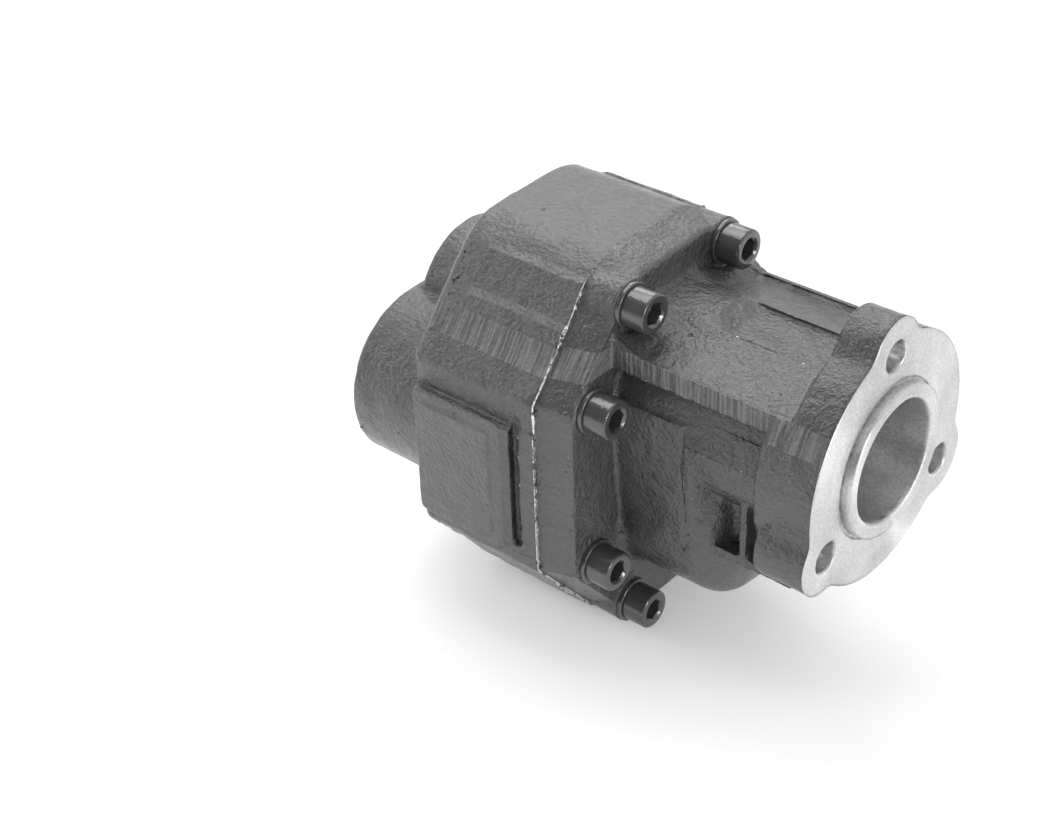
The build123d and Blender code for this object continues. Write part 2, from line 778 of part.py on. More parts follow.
def build_nodes():
    """Every sub-part by node name."""
    nodes = {
        "front_casting": front_casting(),
        "rear_casting": rear_casting(),
        "drive_gear_shaft": drive_gear_shaft(),
        "driven_gear_shaft": driven_gear_shaft(),
        "front_bearing_block": bearing_block(joint_station, front_block_front, True),
        "rear_bearing_block": bearing_block(rear_block_rear, rear_block_front, False),
    }
    for name, z in zip(("drive", "driven"), bore_axes):
        nodes[f"{name}_front_bush"] = bush(joint_station + bush_recess, front_block_front, z)
        nodes[f"{name}_rear_bush"] = bush(rear_block_rear, rear_block_front - bush_recess, z)
    front_floor = front_block_front - block_seal_depth - backup_depth
    rear_floor = rear_block_rear + block_seal_depth + backup_depth
    nodes["front_block_seal"] = block_seal(front_floor + backup_depth, front_block_front)
    nodes["front_backup_ring"] = block_seal(front_floor, front_floor + backup_depth - seat_gap)
    nodes["rear_block_seal"] = block_seal(rear_block_rear, rear_floor - backup_depth)
    nodes["rear_backup_ring"] = block_seal(rear_floor - backup_depth + seat_gap, rear_floor)
    inner_seal = shoulder_front
    spacer = inner_seal + seal_length
    nodes["joint_seal"] = joint_seal()
    nodes["inner_shaft_seal"] = shaft_seal(inner_seal)
    nodes["seal_spacer"] = tube(seal_r - seat_gap, seal_r - spacer_wall, spacer, spacer + spacer_length)
    nodes["outer_shaft_seal"] = shaft_seal(spacer + spacer_length)
    nodes["seal_retaining_ring"] = circlip(seal_r, retainer_rear)
    nodes["rear_plug"] = rear_plug()
    nodes["rear_plug_seal"] = plug_ring(
        plug_r - plug_seal_depth + seat_gap, plug_seal_width - joint_seal_side_gap
    )
    nodes["plug_retaining_ring"] = circlip(plug_r, plug_rear - circlip_thickness)
    nodes["dowel_pins"] = group(
        rod(dowel_r, joint_station - dowel_length / 2, joint_station + dowel_length / 2, y=y, z=z)
        for y, z in dowel_places()
    )
    nodes["body_screws"] = group(cap_screw(y, z) for y, z in screw_places())
    nodes["screw_washers"] = group(
        tube(washer_r, screw_hole_r, seat_station, head_station, y=y, z=z)
        for y, z in screw_places()
    )
    return nodes


if __name__ == "__main__":
    os.makedirs("parts", exist_ok=True)
    for node, shape in build_nodes().items():
        export_step(shape, f"parts/{node}.step")
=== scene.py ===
"""Looks for the external gear pump: finishes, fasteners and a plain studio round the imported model.

The frame's origin is the centre of the mounting flange face, +X points out of the flange along
the drive shaft and +Z points up. Lengths are in metres.
"""

import json
import logging
import math
from collections.abc import Callable, Sequence
from dataclasses import dataclass, field
from enum import Enum

import bmesh
import bpy
from mathutils import Matrix, Vector, noise

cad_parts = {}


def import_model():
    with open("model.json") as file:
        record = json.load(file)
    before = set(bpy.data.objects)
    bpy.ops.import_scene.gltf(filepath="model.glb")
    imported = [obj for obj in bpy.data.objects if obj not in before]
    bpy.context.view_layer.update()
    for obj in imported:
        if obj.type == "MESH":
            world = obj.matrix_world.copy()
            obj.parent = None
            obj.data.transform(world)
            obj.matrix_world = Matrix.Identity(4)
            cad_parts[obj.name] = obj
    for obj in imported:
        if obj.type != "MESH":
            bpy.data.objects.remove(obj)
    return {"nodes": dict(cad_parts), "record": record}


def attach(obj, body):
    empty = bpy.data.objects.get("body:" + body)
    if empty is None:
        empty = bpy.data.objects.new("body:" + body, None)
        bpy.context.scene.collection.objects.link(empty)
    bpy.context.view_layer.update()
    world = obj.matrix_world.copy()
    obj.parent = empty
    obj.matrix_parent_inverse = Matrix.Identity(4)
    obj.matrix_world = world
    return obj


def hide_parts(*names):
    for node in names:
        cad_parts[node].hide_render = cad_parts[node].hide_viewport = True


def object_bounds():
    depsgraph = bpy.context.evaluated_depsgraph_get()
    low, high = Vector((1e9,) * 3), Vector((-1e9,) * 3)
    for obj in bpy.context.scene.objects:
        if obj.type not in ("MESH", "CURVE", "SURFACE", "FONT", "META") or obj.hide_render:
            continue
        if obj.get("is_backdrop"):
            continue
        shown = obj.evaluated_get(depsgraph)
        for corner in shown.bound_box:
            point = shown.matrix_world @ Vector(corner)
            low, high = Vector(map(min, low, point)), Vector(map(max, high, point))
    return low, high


log = logging.getLogger("gear_pump")

MM = 0.001
HOUSING = "housing"
DRIVEN_Z = -51.0 * MM               # axis of the driven gear
JOINT_X = -109.0 * MM               # plane where the two castings meet
SEAT_X = -94.0 * MM                 # plane that the body screws' washers sit on

Socket = bpy.types.NodeSocket
Value = float | Sequence[float] | bpy.types.NodeSocket


class Calc(Enum):
    """Operations of the Math node that the finishes use."""

    ADD = "ADD"
    SUBTRACT = "SUBTRACT"
    MULTIPLY = "MULTIPLY"
    LESS = "LESS_THAN"
    GREATER = "GREATER_THAN"
    MAX = "MAXIMUM"
    ROOT = "SQRT"
    SIZE = "ABSOLUTE"


class Plug(Enum):
    """Kinds of socket on a node group."""

    NUMBER = "NodeSocketFloat"
    PLACE = "NodeSocketVector"


# ---------------------------------------------------------------- node drawing
class Graph:
    """One node tree, with short calls that add nodes and join them."""

    def __init__(self, tree: bpy.types.NodeTree) -> None:
        """Takes the tree that the calls draw in."""
        self.tree = tree

    def fill(self, node: bpy.types.Node, values: dict[str | int, Value]) -> None:
        """Sets or links a node's sockets.

        Args:
            node: the node.
            values: what goes into its sockets, by name or number; a socket is linked.
        """
        for key, value in values.items():
            if isinstance(value, bpy.types.NodeSocket):
                self.tree.links.new(value, node.inputs[key])
            else:
                node.inputs[key].default_value = value

    def add(
        self, kind: str, values: dict[str | int, Value] | None = None, **settings: object
    ) -> bpy.types.Node:
        """Adds one node.

        Args:
            kind: the node's type name.
            values: what goes into its sockets, by name or number; a socket is linked.
            settings: the node's own properties.

        Returns:
            The new node.
        """
        node = self.tree.nodes.new(kind)
        for name, setting in settings.items():
            setattr(node, name, setting)
        self.fill(node, values or {})
        return node

    def calc(self, step: Calc, first: Value, second: Value = 0.0, clamp: bool = False) -> Socket:
        """Adds a Math node.

        Args:
            step: the operation.
            first: its first value.
            second: its second value.
            clamp: whether the result stays within 0 and 1.

        Returns:
            The result's socket.
        """
        node = self.add("ShaderNodeMath", {0: first, 1: second}, operation=step.value, use_clamp=clamp)
        return node.outputs[0]

    def mix_in(self, total: Value, value: Value, share: float) -> Socket:
        """Adds a share of one value to another.

        Args:
            total: what it is added to.
            value: the value.
            share: how much of it is added.

        Returns:
            The sum's socket.
        """
        return self.calc(Calc.ADD, total, self.calc(Calc.MULTIPLY, value, share))

    def ramp(self, value: Value, low: float, high: float, start: float = 0.0, end: float = 1.0) -> Socket:
        """Maps a value smoothly from one range to another and holds it there.

        Args:
            value: the value to map.
            low: where the range begins.
            high: where it ends.
            start: the result at low.
            end: the result at high.

        Returns:
            The result's socket.
        """
        node = self.add(
            "ShaderNodeMapRange", {0: value, 1: low, 2: high, 3: start, 4: end},
            interpolation_type="SMOOTHSTEP",
        )
        return node.outputs[0]

    def noise(self, place: Value, scale: float, detail: float = 3.0, rough: float = 0.5) -> Socket:
        """Adds smooth noise.

        Args:
            place: the point to read it at.
            scale: how many blotches there are in a metre.
            detail: how many finer layers are added.
            rough: how strong the finer layers are.

        Returns:
            The noise, from 0 to 1.
        """
        node = self.add(
            "ShaderNodeTexNoise", {"Vector": place, "Scale": scale, "Detail": detail, "Roughness": rough}
        )
        return node.outputs[0]

    def stretch(self, place: Value, factors: Sequence[float]) -> Socket:
        """Scales a point along each axis, so that noise read there runs in streaks."""
        node = self.add("ShaderNodeVectorMath", {0: place, 1: factors}, operation="MULTIPLY")
        return node.outputs[0]

    def tone(self, mask: Value, below: Value, above: Value) -> Socket:
        """Mixes two colours.

        Args:
            mask: how much of the second shows.
            below: the first colour.
            above: the second colour.

        Returns:
            The mixed colour's socket.
        """
        node = self.add("ShaderNodeMix", {0: mask, 6: below, 7: above}, data_type="RGBA")
        return node.outputs[2]

    def blend(self, mask: Value, below: Value, above: Value) -> Socket:
        """Mixes two numbers.

        Args:
            mask: how much of the second shows.
            below: the first number.
            above: the second number.

        Returns:
            The mixed number's socket.
        """
        node = self.add("ShaderNodeMix", {0: mask, 2: below, 3: above}, data_type="FLOAT")
        return node.outputs[0]

    def axes(self, place: Value) -> tuple[Socket, Socket, Socket]:
        """Splits a point into its three coordinates."""
        node = self.add("ShaderNodeSeparateXYZ", {0: place})
        return node.outputs[0], node.outputs[1], node.outputs[2]

    def near_axis(self, y: Value, z: Value, centre: tuple[float, float]) -> Socket:
        """Distance of a point from a line along X.

        Args:
            y: the point's Y.
            z: the point's Z.
            centre: the line's Y and Z.

        Returns:
            The distance's socket.
        """
        side = self.calc(Calc.SUBTRACT, y, centre[0])
        up = self.calc(Calc.SUBTRACT, z, centre[1])
        squares = self.calc(Calc.ADD, self.calc(Calc.MULTIPLY, side, side), self.calc(Calc.MULTIPLY, up, up))
        return self.calc(Calc.ROOT, squares)


def grey(level: float) -> tuple[float, float, float, float]:
    """A neutral colour of that level."""
    return level, level, level, 1.0


class Effects:
    """Surface effects shared by the finishes, each a node group that is made once."""

    def __init__(self) -> None:
        """Makes the groups."""
        self.cast_skin = self._group(
            "cast_skin", {"Place": Plug.PLACE}, ("Height", "Mottle"), self._cast_skin
        )
        self.edge_wear = self._group(
            "edge_wear", {"Place": Plug.PLACE, "Reach": Plug.NUMBER, "Amount": Plug.NUMBER}, ("Mask",),
            self._edge_wear,
        )
        self.turning = self._group("turning_marks", {"Place": Plug.PLACE}, ("Height", "Tone"), self._turning)
        self.scratches = self._group("scratches", {"Place": Plug.PLACE}, ("Mask",), self._scratches)
        # painted shade: ambient-occlusion darkening in corners and hollows, in patches
        self.corner_shade = self._group("corner_shade", {"Place": Plug.PLACE, "Reach": Plug.NUMBER}, ("Mask",), self._corner_shade)

    @staticmethod
    def _group(
        name: str, inputs: dict[str, Plug], outputs: Sequence[str],
        draw: Callable[[Graph, bpy.types.Node, bpy.types.Node], None],
    ) -> bpy.types.NodeTree:
        """Makes one group with its sockets.

        Args:
            name: the group's name.
            inputs: its input sockets and their kinds.
            outputs: its output sockets, all numbers.
            draw: adds the nodes between them.

        Returns:
            The group.
        """
        tree = bpy.data.node_groups.new(name, "ShaderNodeTree")
        for socket, kind in inputs.items():
            tree.interface.new_socket(socket, in_out="INPUT", socket_type=kind.value)
        for socket in outputs:
            tree.interface.new_socket(socket, in_out="OUTPUT", socket_type=Plug.NUMBER.value)
        graph = Graph(tree)
        draw(graph, graph.add("NodeGroupInput"), graph.add("NodeGroupOutput"))
        return tree

    @staticmethod
    def _cast_skin(graph: Graph, given: bpy.types.Node, result: bpy.types.Node) -> None:
        """Skin of a sand casting under paint: lumps, orange peel, grains and a few pits."""
        place = given.outputs["Place"]
        lumps = graph.noise(place, 95.0, 2.0)
        peel = graph.noise(place, 560.0, 3.0, 0.6)
        grains = graph.noise(place, 1500.0, 2.0, 0.6)
        cells = graph.add("ShaderNodeTexVoronoi", {"Vector": place, "Scale": 115.0, "Randomness": 1.0})
        pits = graph.ramp(cells.outputs["Distance"], 0.05, 0.12, 1.0, 0.0)
        rare = graph.ramp(graph.noise(place, 60.0, 1.0), 0.56, 0.64)
        pits = graph.calc(Calc.MULTIPLY, pits, rare)
        height = graph.calc(Calc.MULTIPLY, lumps, 0.9)
        height = graph.mix_in(height, peel, 0.62)
        height = graph.mix_in(height, grains, 0.16)
        height = graph.calc(Calc.SUBTRACT, height, graph.calc(Calc.MULTIPLY, pits, 0.6))
        mottle = graph.mix_in(graph.calc(Calc.MULTIPLY, peel, 0.6), lumps, 0.4)
        graph.tree.links.new(height, result.inputs["Height"])
        graph.tree.links.new(mottle, result.inputs["Mottle"])

    @staticmethod
    def _edge_wear(graph: Graph, given: bpy.types.Node, result: bpy.types.Node) -> None:
        """Broken wear along outside edges, found by how little metal lies behind the surface."""
        inside = graph.add(
            "ShaderNodeAmbientOcclusion", {"Distance": given.outputs["Reach"]},
            inside=True, only_local=True, samples=8,
        )
        edge = graph.ramp(inside.outputs["AO"], 0.55, 0.92, 1.0, 0.0)
        chips = graph.noise(given.outputs["Place"], 520.0, 4.0, 0.65)
        runs = graph.noise(given.outputs["Place"], 70.0, 2.0)
        broken = graph.mix_in(graph.calc(Calc.MULTIPLY, chips, 0.62), runs, 0.38)
        broken = graph.calc(Calc.ADD, broken, graph.calc(Calc.SUBTRACT, given.outputs["Amount"], 0.5))
        shown = graph.ramp(graph.calc(Calc.MULTIPLY, edge, broken), 0.42, 0.52)
        graph.tree.links.new(shown, result.inputs["Mask"])

    @staticmethod
    def _turning(graph: Graph, given: bpy.types.Node, result: bpy.types.Node) -> None:
        """Fine rings left by a lathe, round the drive axis."""
        x, y, z = graph.axes(given.outputs["Place"])
        around = graph.near_axis(y, z, (0.0, 0.0))
        path = graph.add("ShaderNodeCombineXYZ", {0: x, 1: around, 2: 0.0})
        rings = graph.noise(path.outputs[0], 2600.0, 2.0, 0.7)
        wide = graph.noise(path.outputs[0], 420.0, 1.0)
        height = graph.mix_in(graph.calc(Calc.MULTIPLY, rings, 0.7), wide, 0.5)
        graph.tree.links.new(height, result.inputs["Height"])
        graph.tree.links.new(wide, result.inputs["Tone"])

    @staticmethod
    def _scratches(graph: Graph, given: bpy.types.Node, result: bpy.types.Node) -> None:
        """Long thin scratches in two directions."""
        place = given.outputs["Place"]
        along = graph.noise(graph.stretch(place, (60.0, 900.0, 900.0)), 2.0, 2.0, 0.6)
        across = graph.noise(graph.stretch(place, (900.0, 120.0, 700.0)), 2.0, 2.0, 0.6)
        lines = graph.calc(Calc.MAX, graph.ramp(along, 0.66, 0.74), graph.ramp(across, 0.70, 0.78))
        graph.tree.links.new(lines, result.inputs["Mask"])

    @staticmethod
    def _corner_shade(graph: Graph, given: bpy.types.Node, result: bpy.types.Node) -> None:
        """Painted shade: darkening in corners and hollows, found by ambient occlusion and broken into
        patches.
        """
        corner = graph.add(
            "ShaderNodeAmbientOcclusion", {"Distance": given.outputs["Reach"]}, only_local=True, samples=8
        )
        patchy = graph.ramp(graph.noise(given.outputs["Place"], 240.0, 3.0), 0.25, 0.7)
        closed = graph.ramp(corner.outputs["AO"], 0.35, 0.85, 1.0, 0.0)
        graph.tree.links.new(graph.calc(Calc.MULTIPLY, closed, patchy), result.inputs["Mask"])


class Dresser:
    """Makes the object's materials, starting each with the same first nodes."""

    def __init__(self, effects: Effects) -> None:
        """Takes the shared effects."""
        self.effects = effects

    def start(self, name: str) -> tuple[bpy.types.Material, Graph, bpy.types.Node, Socket]:
        """Begins a material.

        Args:
            name: the material's name.

        Returns:
            The material, its graph, its Principled node and the surface point's socket.
        """
        material = bpy.data.materials.new(name)
        material.use_nodes = True
        material.node_tree.nodes.clear()
        graph = Graph(material.node_tree)
        surface = graph.add("ShaderNodeBsdfPrincipled")
        end = graph.add("ShaderNodeOutputMaterial")
        graph.tree.links.new(surface.outputs[0], end.inputs["Surface"])
        place = graph.add("ShaderNodeTexCoord").outputs["Object"]
        return material, graph, surface, place

    @staticmethod
    def use(graph: Graph, effect: bpy.types.NodeTree, **values: Value) -> bpy.types.Node:
        """Places a shared effect in a material.

        Args:
            graph: the material's graph.
            effect: the node group.
            values: what goes into its sockets.

        Returns:
            The group's node.
        """
        node = graph.add("ShaderNodeGroup", node_tree=effect)
        graph.fill(node, values)
        return node

    @staticmethod
    def finish(graph: Graph, surface: bpy.types.Node, height: Socket, rounding: float) -> None:
        """Feeds the surface's normal: rounded edges, then the fine relief.

        Args:
            graph: the material's graph.
            surface: its Principled node.
            height: the relief, in metres.
            rounding: the radius that edges appear to have.
        """
        rounded = graph.add("ShaderNodeBevel", {"Radius": rounding}, samples=6)
        relief = graph.add(
            "ShaderNodeBump",
            {"Height": height, "Distance": 1.0, "Strength": 1.0, "Normal": rounded.outputs[0]},
        )
        graph.tree.links.new(relief.outputs[0], surface.inputs["Normal"])


# ---------------------------------------------------------------- finishes
@dataclass(frozen=True)
class PaintedIron:
    """Dark grey gloss paint over a sand casting, chipped along its edges and the joint, with painted shade
    darkening its corners.
    """

    name: str
    level: float = 0.052                # the paint's colour
    level_spread: float = 0.024         # how much it varies over the skin
    rough: float = 0.205
    gloss: float = 0.95                 # strength of the paint's reflection
    bare_level: float = 0.80            # metal where the paint is chipped
    relief: float = 0.00135
    rounding: float = 0.7 * MM          # radius that edges appear to have
    wear_reach: float = 0.8 * MM
    wear_amount: float = 0.40
    corner_shade_reach: float = 8.0 * MM
    corner_shade_level: float = 0.4            # what is left of the colour where the painted corner shade is full
    scratch_tone: float = 0.05
    chip_depth: float = 0.00012
    seam: float = 0.42 * MM
    seam_low: float = 6.0 * MM          # the seam is chipped most on the upper flanks
    seam_high: float = 46.0 * MM
    seam_fade: float = 2.0 * MM
    bar_face: float = 39.0 * MM         # outer face of the bars beside the roof
    bar_low: float = 21.5 * MM
    bar_high: float = 31.0 * MM
    cutter_tone: float = 0.10
    cutter_depth: float = 0.0006

    def make(self, dresser: Dresser) -> bpy.types.Material:
        """Draws the material.

        Args:
            dresser: makes the first nodes.

        Returns:
            The material.
        """
        material, graph, surface, place = dresser.start(self.name)
        effects = dresser.effects
        skin = dresser.use(graph, effects.cast_skin, Place=place)
        wear = dresser.use(
            graph, effects.edge_wear, Place=place, Reach=self.wear_reach, Amount=self.wear_amount
        )
        marks = dresser.use(graph, effects.scratches, Place=place)
        # painted shade: ambient-occlusion mask that darkens the paint in corners and hollows, in patches
        corner_shade = dresser.use(graph, effects.corner_shade, Place=place, Reach=self.corner_shade_reach)

        paint = graph.blend(
            skin.outputs["Mottle"], self.level - self.level_spread, self.level + self.level_spread
        )
        # painted shade: the paint colour drops towards a share of itself in closed corners
        unshaded = graph.ramp(corner_shade.outputs["Mask"], 0.0, 1.0, 1.0, self.corner_shade_level)
        paint = graph.calc(Calc.MULTIPLY, paint, unshaded)
        paint = graph.mix_in(paint, marks.outputs["Mask"], self.scratch_tone)
        cutter = self._milling(graph, place)
        paint = graph.calc(Calc.ADD, paint, graph.ramp(cutter, 0.42, 0.62, 0.0, self.cutter_tone))
        chips = graph.calc(Calc.MAX, wear.outputs["Mask"], self._seam(graph, place))
        level = graph.blend(chips, paint, self.bare_level)
        colour = graph.add("ShaderNodeCombineColor", {0: level, 1: level, 2: level}).outputs[0]
        rough = graph.blend(skin.outputs["Mottle"], self.rough - 0.10, self.rough + 0.12)
        cast = graph.calc(Calc.MULTIPLY, skin.outputs["Height"], self.relief)
        height = graph.calc(Calc.SUBTRACT, cast, graph.calc(Calc.MULTIPLY, chips, self.chip_depth))
        height = graph.mix_in(height, cutter, self.cutter_depth)
        graph.fill(
            surface,
            {"Base Color": colour, "Roughness": rough, "Metallic": chips, "Specular IOR Level": self.gloss},
        )
        dresser.finish(graph, surface, height, self.rounding)
        return material

    def _seam(self, graph: Graph, place: Socket) -> Socket:
        """Mask of the chipped line where the two castings meet.

        Args:
            graph: the material's graph.
            place: the surface point.

        Returns:
            The mask's socket.
        """
        x, _, z = graph.axes(place)
        off = graph.calc(Calc.SIZE, graph.calc(Calc.SUBTRACT, x, JOINT_X))
        broken = graph.ramp(graph.noise(place, 230.0, 4.0, 0.75), 0.46, 0.58)
        upper = graph.calc(
            Calc.MULTIPLY,
            graph.ramp(z, self.seam_low - self.seam_fade, self.seam_low),
            graph.ramp(z, self.seam_high, self.seam_high + self.seam_fade, 1.0, 0.0),
        )
        wide = graph.calc(Calc.MULTIPLY, broken, graph.ramp(upper, 0.0, 1.0, 0.12 * self.seam, self.seam))
        return graph.calc(Calc.LESS, off, wide)

    def _milling(self, graph: Graph, place: Socket) -> Socket:
        """Upright cutter marks on the bars' outer faces.

        Args:
            graph: the material's graph.
            place: the surface point.

        Returns:
            The marks' socket, 0 away from those faces.
        """
        _, y, z = graph.axes(place)
        outer = graph.calc(Calc.GREATER, graph.calc(Calc.SIZE, y), self.bar_face - 0.15 * MM)
        low = graph.calc(Calc.GREATER, z, self.bar_low)
        high = graph.calc(Calc.LESS, z, self.bar_high)
        face = graph.calc(Calc.MULTIPLY, outer, graph.calc(Calc.MULTIPLY, low, high))
        marks = graph.noise(graph.stretch(place, (1.0, 0.02, 0.03)), 900.0, 3.0, 0.7)
        return graph.calc(Calc.MULTIPLY, face, marks)


@dataclass(frozen=True)
class MachinedIron:
    """Bare turned and bored iron, with lathe rings, light scratches and painted shade in its corners."""

    name: str
    level: float = 0.60
    rough: float = 0.42
    rough_spread: float = 0.10
    relief: float = 0.00005
    rounding: float = 0.3 * MM
    corner_shade_reach: float = 3.0 * MM
    corner_shade_level: float = 0.6
    scratch_tone: float = 0.10
    speckle_tone: float = 0.09

    def make(self, dresser: Dresser) -> bpy.types.Material:
        """Draws the material.

        Args:
            dresser: makes the first nodes.

        Returns:
            The material.
        """
        material, graph, surface, place = dresser.start(self.name)
        lines = dresser.use(graph, dresser.effects.turning, Place=place)
        marks = dresser.use(graph, dresser.effects.scratches, Place=place)
        # painted shade: ambient-occlusion mask that darkens the bare iron in corners and hollows, in patches
        corner_shade = dresser.use(graph, dresser.effects.corner_shade, Place=place, Reach=self.corner_shade_reach)
        cloud = graph.noise(place, 55.0, 4.0, 0.6)
        speckle = graph.noise(place, 900.0, 3.0, 0.7)
        level = graph.blend(cloud, self.level - 0.22, self.level + 0.20)
        speckled = graph.ramp(speckle, 0.3, 0.7, -self.speckle_tone, self.speckle_tone)
        level = graph.calc(Calc.ADD, level, speckled)
        scratched = graph.calc(Calc.MULTIPLY, marks.outputs["Mask"], self.scratch_tone)
        level = graph.calc(Calc.SUBTRACT, level, scratched)
        # painted shade: the iron's colour drops towards a share of itself in closed corners
        unshaded = graph.ramp(corner_shade.outputs["Mask"], 0.0, 1.0, 1.0, self.corner_shade_level)
        level = graph.calc(Calc.MULTIPLY, level, unshaded)
        colour = graph.add("ShaderNodeCombineColor", {0: level, 1: level, 2: level}).outputs[0]
        rough = graph.blend(
            lines.outputs["Tone"], self.rough - self.rough_spread, self.rough + self.rough_spread
        )
        height = graph.calc(Calc.MULTIPLY, lines.outputs["Height"], self.relief)
        around = graph.add("ShaderNodeTangent", direction_type="RADIAL", axis="X").outputs[0]
        graph.fill(
            surface,
            {
                "Base Color": colour, "Roughness": rough, "Metallic": 0.94, "Tangent": around,
                "Anisotropic": 0.85, "Anisotropic Rotation": 0.25,
            },
        )
        dresser.finish(graph, surface, height, self.rounding)
        return material


@dataclass(frozen=True)
class BarePart:
    """Plain metal, plastic or rubber of one of the smaller pieces."""

    name: str
    colour: tuple[float, float, float]
    metal: float
    rough: float
    relief: float = 0.00002
    grain: float = 1400.0
    streak: tuple[float, float, float] = (1.0, 1.0, 1.0)
    wear: float = 0.0
    wear_level: float = 0.75
    wear_reach: float = 0.7 * MM
    gloss: float = 0.5
    rounding: float = 0.25 * MM

    def make(self, dresser: Dresser) -> bpy.types.Material:
        """Draws the material.

        Args:
            dresser: makes the first nodes.

        Returns:
            The material.
        """
        material, graph, surface, place = dresser.start(self.name)
        grain = graph.noise(graph.stretch(place, self.streak), self.grain, 3.0, 0.6)
        cloud = graph.noise(place, 130.0, 3.0)
        low = tuple(0.82 * c for c in self.colour) + (1.0,)
        high = tuple(min(1.0, 1.16 * c) for c in self.colour) + (1.0,)
        colour = graph.tone(cloud, low, high)
        rough = graph.blend(cloud, max(0.05, self.rough - 0.07), self.rough + 0.09)
        values = {"Metallic": self.metal, "Specular IOR Level": self.gloss}
        if self.wear > 0:
            edge = dresser.use(
                graph, dresser.effects.edge_wear, Place=place, Reach=self.wear_reach, Amount=self.wear
            )
            colour = graph.tone(edge.outputs["Mask"], colour, grey(self.wear_level))
            rough = graph.blend(edge.outputs["Mask"], rough, 0.3)
            values["Metallic"] = graph.blend(edge.outputs["Mask"], self.metal, 1.0)
        values.update({"Base Color": colour, "Roughness": rough})
        graph.fill(surface, values)
        dresser.finish(graph, surface, graph.calc(Calc.MULTIPLY, grain, self.relief), self.rounding)
        return material


FINISHES = {
    "case_hardened_steel": BarePart(
        "case_hardened_steel", (0.50, 0.50, 0.51), 1.0, 0.28, streak=(8.0, 1.0, 1.0)
    ),
    "block_aluminium": BarePart("block_aluminium", (0.72, 0.72, 0.73), 1.0, 0.35),
    "bush_bronze": BarePart("bush_bronze", (0.55, 0.40, 0.24), 1.0, 0.3),
    "seal_rubber": BarePart("seal_rubber", (0.022, 0.022, 0.023), 0.0, 0.55, relief=0.00004),
    "backup_plastic": BarePart("backup_plastic", (0.70, 0.66, 0.58), 0.0, 0.45),
    "bright_steel": BarePart("bright_steel", (0.60, 0.60, 0.61), 1.0, 0.26),
    "spring_steel": BarePart("spring_steel", (0.14, 0.14, 0.145), 0.8, 0.38),
    "painted_screws": BarePart(
        "painted_screws", (0.050, 0.050, 0.052), 0.0, 0.15, relief=0.00012, grain=700.0, wear=0.68, gloss=0.95
    ),
}


# ---------------------------------------------------------------- mesh drawing
@dataclass(frozen=True)
class Ring:
    """One closed loop of points round an axis along X."""

    x: float
    radius: float
    hexagon: bool = False               # radius is then half the width across the flats


@dataclass
class RingStack:
    """Solid made of rings joined one to the next."""

    rings: list[Ring]
    steps: int = 48
    turn: float = 0.0

    def _reach(self, ring: Ring, angle: float) -> float:
        """Distance of a ring's point from the axis, in one direction."""
        if not ring.hexagon:
            return ring.radius
        sixth = math.pi / 3
        return ring.radius / math.cos((angle + sixth / 2) % sixth - sixth / 2)

    def build(self, mesh: bmesh.types.BMesh, centre: tuple[float, float], closed: bool) -> None:
        """Adds the solid to a mesh.

        Args:
            mesh: what it is added to.
            centre: the axis's Y and Z.
            closed: whether the last ring joins the first, as on a washer.
        """
        loops = []
        for ring in self.rings:
            points = []
            for step in range(self.steps):
                angle = 2 * math.pi * step / self.steps
                reach = self._reach(ring, angle)
                y = centre[0] + reach * math.cos(angle + self.turn)
                z = centre[1] + reach * math.sin(angle + self.turn)
                points.append(mesh.verts.new((ring.x, y, z)))
            loops.append(points)
        pairs = list(zip(loops, loops[1:]))
        if closed:
            pairs.append((loops[-1], loops[0]))
        else:
            mesh.faces.new(loops[0])
            mesh.faces.new(list(reversed(loops[-1])))
        for first, second in pairs:
            for step in range(self.steps):
                after = (step + 1) % self.steps
                mesh.faces.new((first[step], second[step], second[after], first[after]))


def to_object(mesh: bmesh.types.BMesh, name: str, crease: float) -> bpy.types.Object:
    """Turns a mesh into an object with smooth faces and sharp creases.

    Args:
        mesh: the mesh, which is freed.
        name: the object's name.
        crease: edges sharper than this angle stay sharp.

    Returns:
        The object.
    """
    bmesh.ops.recalc_face_normals(mesh, faces=mesh.faces)
    data = bpy.data.meshes.new(name)
    mesh.to_mesh(data)
    mesh.free()
    data.shade_smooth()
    data.set_sharp_from_angle(angle=crease)
    piece = bpy.data.objects.new(name, data)
    bpy.context.scene.collection.objects.link(piece)
    return piece


def rounded_corner(x: float, radius: float, size: float, outward: int, steps: int = 4) -> list[Ring]:
    """Rings round an outside corner where a cylinder meets a flat end.

    Args:
        x: the flat end's place.
        radius: the cylinder's radius.
        size: the round's radius.
        outward: 1 if the end faces +X, or -1.
        steps: how many steps the round has.

    Returns:
        The rings, from the cylinder to the end.
    """
    rings = []
    for step in range(steps + 1):
        angle = math.pi / 2 * step / steps
        rings.append(
            Ring(x - outward * size * (1 - math.sin(angle)), radius - size * (1 - math.cos(angle)))
        )
    return rings


